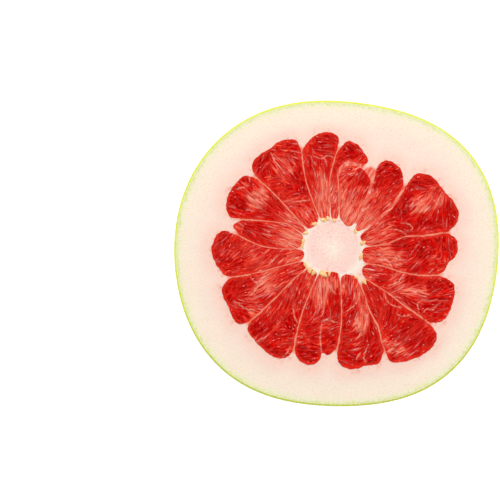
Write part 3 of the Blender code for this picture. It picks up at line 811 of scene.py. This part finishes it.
def fleshMaterial():
    finish = Finish("pomeloFlesh", {
        "IOR": 1.36,
        "Specular IOR Level": 0.03,
        "Subsurface Weight": 0.06,
        "Subsurface Radius": (1.0, 0.2, 0.15),
        "Subsurface Scale": 0.0008,
        "Coat Roughness": 0.1,
        "Coat IOR": 1.5,
    })
    grain = finish.place("grain")
    fibres = finish.noise(finish.stretch(grain, (0.11, 1.1, 1.0)), 1.0, 2.0, 0.6)
    threads = finish.noise(finish.stretch(grain, (0.3, 3.2, 1.0)), 1.0, 2.0, 0.5)
    # one noise for the wet coat and for painted glint specks
    wetAndPaintedGlints = finish.noise(finish.stretch(grain, (0.5, 2.0, 2.3)), 1.0, 1.0, 0.5)
    labels = ("pale", "tone", "wall", "vein", "border", "thread")
    pale, tone, wall, vein, border, thread = (finish.number(label) for label in labels)
    patch = finish.mask(finish.noise(finish.place("rest"), 0.22, 2.0, 0.5), 0.42, 0.58)
    strength = 0.25 + 1.0 * patch + 1.9 * pale
    streaks = strength * (1.5 * (fibres - 0.5) + 0.35 * (threads - 0.5))
    depth = pale * 0.92 + 0.2 * tone + streaks + 0.2 * patch - 0.22
    finish.colour = finish.ramp(depth, (
        (0.0, flesh["deep"]), (0.25, flesh["red"]), (0.48, flesh["warm"]),
        (0.72, flesh["salmon"]), (1.0, flesh["pale"]),
    ))
    line = finish.mix(finish.mask(pale, 0.2, 0.9), flesh["wall"], flesh["palest"])
    finish.cover(wall * (0.26 + 0.12 * pale), line)
    finish.cover(thread * (0.4 + 0.6 * pale), line)
    uneven = finish.noise(finish.place("rest"), 0.6, 2.0, 0.5)
    band = finish.mask(border - finish.number("outer") + 3.0 * (uneven - 0.5), 0.8, 0.05)
    finish.cover(band * 0.5, flesh["border"])
    finish.cover(vein * 0.9, flesh["palest"])
    # painted highlights: glint strokes and small glint specks painted white into the colour
    finish.cover(finish.number("shine"), flesh["glint"])
    finish.cover(finish.mask(wetAndPaintedGlints, 0.7, 0.76) * 0.6, flesh["glint"])
    relief = finish.bump(fibres + 0.5 * threads, 0.35, 0.0002)
    return finish.use({
        "Roughness": 0.3 + 0.15 * fibres,
        "Coat Weight": 0.5 * finish.mask(wetAndPaintedGlints, 0.56, 0.7),
        "Normal": relief,
    })


def makeSegment(number, pocket, material, random):
    outline = grown(pocket, -fruit["pocketSlit"])
    count = len(outline)
    inner = gridWithin(outline, flesh["spacing"], flesh["spacing"] * 0.55, random)
    flat = np.vstack((outline, inner))
    faces = filled(flat, outline).tolist()
    height, values = fleshSurface(flat, outline, number, random)
    walls = pocketWalls(outline)
    upper = 0
    total = len(flat)
    for _ in walls:
        faces += bands(total, upper, count)
        upper = total
        total += count
    ring = walls[-1][:, :2]
    faces += (filled(ring, ring)[:, ::-1] + upper).tolist()
    points = np.vstack((np.column_stack((flat, fruit["cutHeight"] + height)), *walls))
    spare = len(points) - len(flat)
    for label, numbers in values.items():
        fill = np.full((spare, *numbers.shape[1:]), 0.4 if label == "pale" else 0.0)
        values[label] = np.concatenate((numbers, fill))
    piece = buildMesh(f"flesh_{number:02d}", points, faces, material, values)
    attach(piece, "root")
    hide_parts(f"segment_{number:02d}")


# the white pith, with the core and the thin walls between the segments

pith = {
    "spacing": 1.15,
    "rings": (0.28, 0.65, 1.2, 2.0),  # rows of points round each pocket
    "unevenness": 0.05,
    "membranes": (  # where the wide walls between segments are red skins and not white: place and reach
        (3.2, 38.0, 3.6), (8.5, 41.0, 2.6), (13.0, 40.3, 2.6), (17.6, 35.2, 3.6), (17.4, 30.0, 3.2),
        (15.8, 22.0, 4.2), (12.0, 14.5, 3.6), (33.6, 26.5, 2.8), (31.0, 22.0, 3.4), (26.5, 17.0, 3.6),
        (21.0, 12.2, 3.6),
    ),
    **tints(
        near=(254, 214, 198), middle=(254, 229, 214), outer=(254, 236, 216), green=(244, 240, 204),
        streak=(220, 229, 112), blush=(246, 140, 122), septum=(224, 54, 38), septumMiddle=(246, 134, 106),
        membrane=(236, 78, 56), membraneLight=(250, 152, 126), septumPale=(255, 226, 206),
        core=(255, 238, 222), coreRing=(254, 219, 207), coreEdge=(255, 236, 222), grain=(248, 178, 164),
        fleck=(252, 190, 128),
    ),
}


def pithMaterial():
    finish = Finish("pomeloPith", {
        "IOR": 1.4,
        "Subsurface Weight": 0.3,
        "Subsurface Radius": (1.0, 0.6, 0.5),
        "Subsurface Scale": 0.0015,
    })
    place = finish.place("rest")
    polar = finish.place("polar")
    labels = ("fleshGap", "septum", "skinGap", "fromCore", "membrane")
    near, septum, toSkin, fromCore, membrane = (finish.number(label) for label in labels)
    cloud = finish.noise(place, 0.12, 3.0, 0.55)
    grit = finish.noise(place, 1.1, 2.0, 0.7)
    blotch = finish.noise(place, 0.45, 3.0, 0.6)
    rays = finish.noise(finish.stretch(polar, (1.3, 0.3, 1.0)), 1.0, 2.0, 0.6)
    specks = finish.noise(place, 0.6, 1.0, 0.4)
    finish.colour = finish.mix(finish.mask(near, 0.0, 9.0), pith["near"], pith["middle"])
    finish.cover(finish.mask(toSkin + 6.0 * (cloud - 0.5), 13.0, 4.0), pith["outer"])
    finish.cover(finish.mask(toSkin + 5.0 * (rays - 0.5), 3.6, 0.3), pith["green"])
    finish.cover(finish.mask(toSkin + 7.0 * (rays - 0.5), 1.0, -0.6) * 0.6, pith["streak"])
    centre = finish.mix(finish.mask(fromCore + 8.0 * (cloud - 0.5), 1.0, 8.0), pith["core"], pith["coreRing"])
    centre = finish.mix(finish.mask(fromCore, 11.5, 14.5), centre, pith["coreEdge"])
    finish.cover(finish.mask(fromCore, 19.0, 14.0), centre)
    threads = finish.mask(blotch, 0.53, 0.68) * finish.mask(near, 4.0, 0.3)
    finish.cover(threads * 0.55, pith["blush"])
    middle = finish.mask(near + 0.5 * (blotch - 0.5), 0.02, 0.24)
    wallColour = finish.mix(middle, pith["septum"], pith["septumMiddle"])
    byCore = finish.mask(fromCore + 14.0 * (blotch - 0.5), 20.0, 13.5)
    wallColour = finish.mix(byCore, wallColour, pith["septumPale"])
    wallColour = finish.mix(finish.mask(toSkin, 22.0, 15.0) * 0.5, wallColour, pith["septumPale"])
    finish.cover(septum, wallColour)
    fold = finish.mask(finish.noise(finish.stretch(polar, (0.9, 0.14, 1.0)), 1.0, 2.0, 0.6), 0.46, 0.66)
    finish.cover(membrane, finish.mix(fold, pith["membrane"], pith["membraneLight"]))
    grain = finish.mask(grit, 0.5, 0.64) * (0.22 + 0.3 * finish.mask(fromCore, 14.0, 9.0))
    finish.cover(grain, pith["grain"])
    finish.cover(finish.mask(specks, 0.74, 0.8) * (1 - septum) * 0.5, pith["fleck"])
    relief = finish.bump(grit, 0.25, 0.0002)
    return finish.use({
        "Roughness": 0.62 + 0.15 * grit,
        "Normal": relief,
    })


def pithValues(points, pockets):
    flat = points[:, :2]
    angle = np.arctan2(flat[:, 1], flat[:, 0])
    first = np.full(len(points), 9.0)
    second = np.full(len(points), 9.0)
    for pocket in pockets:
        close = closeTo(flat, pocket, 9)
        gap = distanceTo(flat[close], pocket[::2])
        second[close] = np.minimum(second[close], np.maximum(gap, first[close]))
        first[close] = np.minimum(first[close], gap)
    membrane = np.zeros(len(points))
    for x, y, reach in pith["membranes"]:
        away = np.hypot(flat[:, 0] - x, flat[:, 1] - y)
        membrane = np.maximum(membrane, 1 - smooth(0.75 * reach, 1.15 * reach, away))
    away = np.hypot(*flat.T)
    return {
        "rest": points,
        "membrane": membrane,
        "polar": np.column_stack((angle * 40, away, points[:, 2] * 0.2)),
        "fleshGap": first,
        "septum": 1 - smooth(1.0, 2.4, first + second),
        "skinGap": rimRadius(angle) - fruit["skinThickness"] - away,
        "fromCore": away,
    }


def makePith(pockets, random):
    count = skin["around"]
    start = flatSpotTurn()
    turns = np.linspace(start, 90, 15)
    rings = [bowlRing(turn, fruit["skinThickness"], fruit["skinFloor"]) for turn in turns]
    faces = stacked(count, len(rings))
    bottom = len(rings) * count
    faces += fan(bottom, 0, count, True)
    rim = rings[-1][:, :2]
    flat = [rim]
    edges = loopEdges(0, count)
    total = count
    mouths = []
    for pocket in pockets:
        mouths.append(total)
        edges += loopEdges(total, len(pocket))
        flat.append(pocket)
        total += len(pocket)
    loose = gridWithin(rim, pith["spacing"], 0.6, random)
    far = np.ones(len(loose), bool)
    rows = []
    for pocket in pockets:
        for number, margin in enumerate(pith["rings"]):
            rows.append(grown(pocket[::number // 2 + 1], margin))
        close = closeTo(loose, pocket, 3)
        clear = ~within(loose[close], pocket) & (distanceTo(loose[close], pocket) > pith["rings"][-1] + 0.4)
        far[close] &= clear
    loose = loose[far]
    row = np.vstack(rows)
    keep = within(row, rim)
    for pocket in pockets:
        close = closeTo(row, pocket, 3)
        close = close[keep[close]]
        keep[close] &= ~within(row[close], pocket) & (distanceTo(row[close], pocket) > 0.2)
    row = row[keep]
    spots = np.round(row / 0.2).astype(int)
    _, only = np.unique(spots, axis=0, return_index=True)
    row = row[np.sort(only)]
    flat = np.vstack(flat + [row, loose])
    top = flatTriangles(flat, edges)
    middles = flat[top].mean(axis=1)
    for pocket in pockets:
        keep = ~within(middles, pocket)
        top, middles = top[keep], middles[keep]
    lift = np.zeros(len(flat))
    lift[total:] = pith["unevenness"] * (ripple(flat[total:], 7.0, 41) - 1.2)
    height = fruit["cutHeight"] + lift
    order = np.arange(len(flat))
    place = np.where(order < count, (len(rings) - 1) * count + order, bottom + 1 + order - count)
    faces += place[top].tolist()
    parts = rings + [[(0, 0, fruit["skinFloor"])], np.column_stack((flat, height))[count:]]
    points = np.vstack(parts)
    for pocket, mouth in zip(pockets, mouths):
        size = len(pocket)
        upper = int(place[mouth])
        lower = len(points)
        walls = pocketWalls(pocket)
        for _ in walls:
            faces += bands(upper, lower, size)
            upper = lower
            lower += size
        ring = walls[-1][:, :2]
        faces += (filled(ring, ring) + upper).tolist()
        points = np.vstack((points, *walls))
    piece = buildMesh("pomelo_pith", points, faces, pithMaterial(), pithValues(points, pockets))
    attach(piece, "root")
    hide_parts("pith")


# the shrunken seeds at the segments' tips: distance, angle, length, width and the turn of the long side

seeds = {
    "rings": 10,
    "around": 18,
    "sunk": 0.35,  # share of a seed's height that stays under the cut
    "height": 0.42,
    "slimmer": 0.85,
    "places": (
        (13.9, 111, 3, 2.3, 60), (14, 101, 2.4, 2.2, 10), (12.9, 88, 2.2, 1.8, 20), (13, 36, 2.4, 1.8, 70),
        (14.3, 8, 3.2, 2, 20), (14, -19, 3.8, 1.8, 90), (22.3, -48.7, 3.2, 2.2, 0),
        (18.4, -53, 2.2, 1.6, 20), (13.9, -110.5, 4.2, 3, 75), (12.9, -99, 2.6, 1.6, 5),
        (16, -135.5, 3, 2.4, 40), (15.8, -128, 2.8, 2.2, 10), (16, -147, 3.4, 1.7, 80),
        (15, -182, 2.4, 1.5, 85), (14.9, -191, 2.6, 1.7, 80), (15, -207, 2.6, 1.7, 30),
        (14.6, -230, 2.8, 1.9, 60),
    ),
    **tints(cream=(255, 217, 150), shade=(248, 172, 104)),
}


def seedMaterial():
    finish = Finish("pomeloSeed", {
        "IOR": 1.45,
        "Subsurface Weight": 0.2,
        "Subsurface Radius": (1.0, 0.7, 0.4),
        "Subsurface Scale": 0.0008,
        "Coat Roughness": 0.15,
    })
    place = finish.place("rest")
    streak = finish.noise(place, 1.6, 3.0, 0.6)
    finish.colour = finish.mix(finish.mask(streak, 0.42, 0.66), seeds["cream"], seeds["shade"])
    return finish.use({
        "Roughness": 0.35 + 0.2 * streak,
        "Coat Weight": 0.3 + 0.3 * streak,
        "Normal": finish.bump(streak, 0.4, 0.0003),
    })


def makeSeeds(random):
    parts = []
    faces = []
    total = 0
    around = seeds["around"]
    for distance, angle, length, width, turn in seeds["places"]:
        lean = math.radians(turn + angle)
        middle = np.array((math.cos(math.radians(angle)), math.sin(math.radians(angle)))) * distance
        shift = random.uniform(0, math.tau, 3)
        points = []
        for step in range(1, seeds["rings"]):
            share = step / seeds["rings"]
            along = -math.cos(share * math.pi)
            # fuller at one end, pointed at the other
            girth = math.sin(share * math.pi) ** 0.9 * (1 - 0.32 * along)
            for spoke in np.arange(around) * math.tau / around:
                crease = 1 + 0.09 * math.sin(3 * spoke + shift[0] + 2 * along)
                out = girth * (crease + 0.05 * math.sin(7 * spoke + shift[1]))
                across = out * math.cos(spoke) * width / 2 * seeds["slimmer"]
                points.append((along * length / 2, across, out * math.sin(spoke) * seeds["height"]))
        points = [(-length / 2, 0, 0)] + points + [(length / 2 * 1.08, 0, 0)]
        points = np.array(points)
        flat = points[:, :2] @ np.array(((math.cos(lean), math.sin(lean)), (-math.sin(lean), math.cos(lean))))
        height = fruit["cutHeight"] + points[:, 2] + seeds["height"] * (0.5 - seeds["sunk"])
        parts.append(np.column_stack((flat + middle, height)))
        end = total + len(points) - 1
        faces += fan(total, total + 1, around, True) + fan(end, end - around, around)
        for ring in range(seeds["rings"] - 2):
            lower = total + 1 + ring * around
            faces += bands(lower, lower + around, around)
        total += len(points)
    points = np.vstack(parts)
    piece = buildMesh("seeds", points, faces, seedMaterial(), {"rest": points})
    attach(piece, "root")


# the table, the light and the camera

studio = {
    "floorRadius": 4000,
    "floorDrop": 0.05,
    "floorWhite": 0.35,
    "floorGlow": 0.88,
    "worldStrength": 0.3,
    "lens": 179.5,
    "cameraPlace": (-41.65, 1.64, 1270.0),
    "softBoxes": (
        # place, size and power of each light, in metres and watts
        ((-0.15, 1.0, 1.15), 0.9, 15.4),
        ((0.9, -0.5, 1.2), 0.7, 6.0),
        ((-0.35, 0.75, 1.3), 0.07, 1.3),
        ((0.5, 0.6, 1.3), 0.05, 0.8),
    ),
}


def makeFloor():
    around = 96
    angle = np.arange(around) * math.tau / around
    reach = studio["floorRadius"] * mm
    low = -studio["floorDrop"] * mm
    points = [(0.0, 0.0, low)] + [(reach * math.cos(turn), reach * math.sin(turn), low) for turn in angle]
    mesh = bpy.data.meshes.new("floor")
    mesh.from_pydata(points, [], fan(0, 1, around))
    finish = Finish("paleTable", {
        "Roughness": 0.9,
        "Specular IOR Level": 0.1,
        "Emission Strength": studio["floorGlow"],
    })
    finish.colour = (*[studio["floorWhite"]] * 3, 1)
    mesh.materials.append(finish.use({"Emission Color": (1, 1, 1, 1)}))
    floor = added("floor", mesh)


def makeLights():
    target = Vector((0, 0, fruit["cutHeight"] * mm))
    for number, (place, size, power) in enumerate(studio["softBoxes"]):
        light = bpy.data.lights.new(f"softBox{number}", "AREA")
        light.size = size
        light.energy = power
        lamp = added(f"softBox{number}", light)
        lamp.location = place
        lamp.rotation_euler = (target - Vector(place)).to_track_quat("-Z", "Y").to_euler()
        lamp.visible_camera = False
    world = bpy.data.worlds.new("studio")
    world.use_nodes = True
    sky = world.node_tree.nodes["Background"]
    sky.inputs["Color"].default_value = (1, 1, 1, 1)
    sky.inputs["Strength"].default_value = studio["worldStrength"]
    bpy.context.scene.world = world


def makeCamera():
    view = bpy.data.cameras.new("camera")
    view.lens = studio["lens"]
    view.clip_end = 100
    camera = added("camera", view)
    camera.location = [value * mm for value in studio["cameraPlace"]]
    bpy.context.scene.camera = camera
    bpy.context.scene.view_settings.view_transform = "Standard"


def main():
    random = np.random.default_rng(11)
    makeFloor()
    makeLights()
    makeCamera()
    print("stage ready")
    makeSkin()
    print("skin ready")
    pockets = [pocketOutline(number) for number in streams]
    makePith(pockets, random)
    print("pith ready")
    material = fleshMaterial()
    for number, pocket in zip(streams, pockets):
        makeSegment(number, pocket, material, random)
        print("flesh", number, "ready")
    makeSeeds(random)
    print("seeds ready")


main()
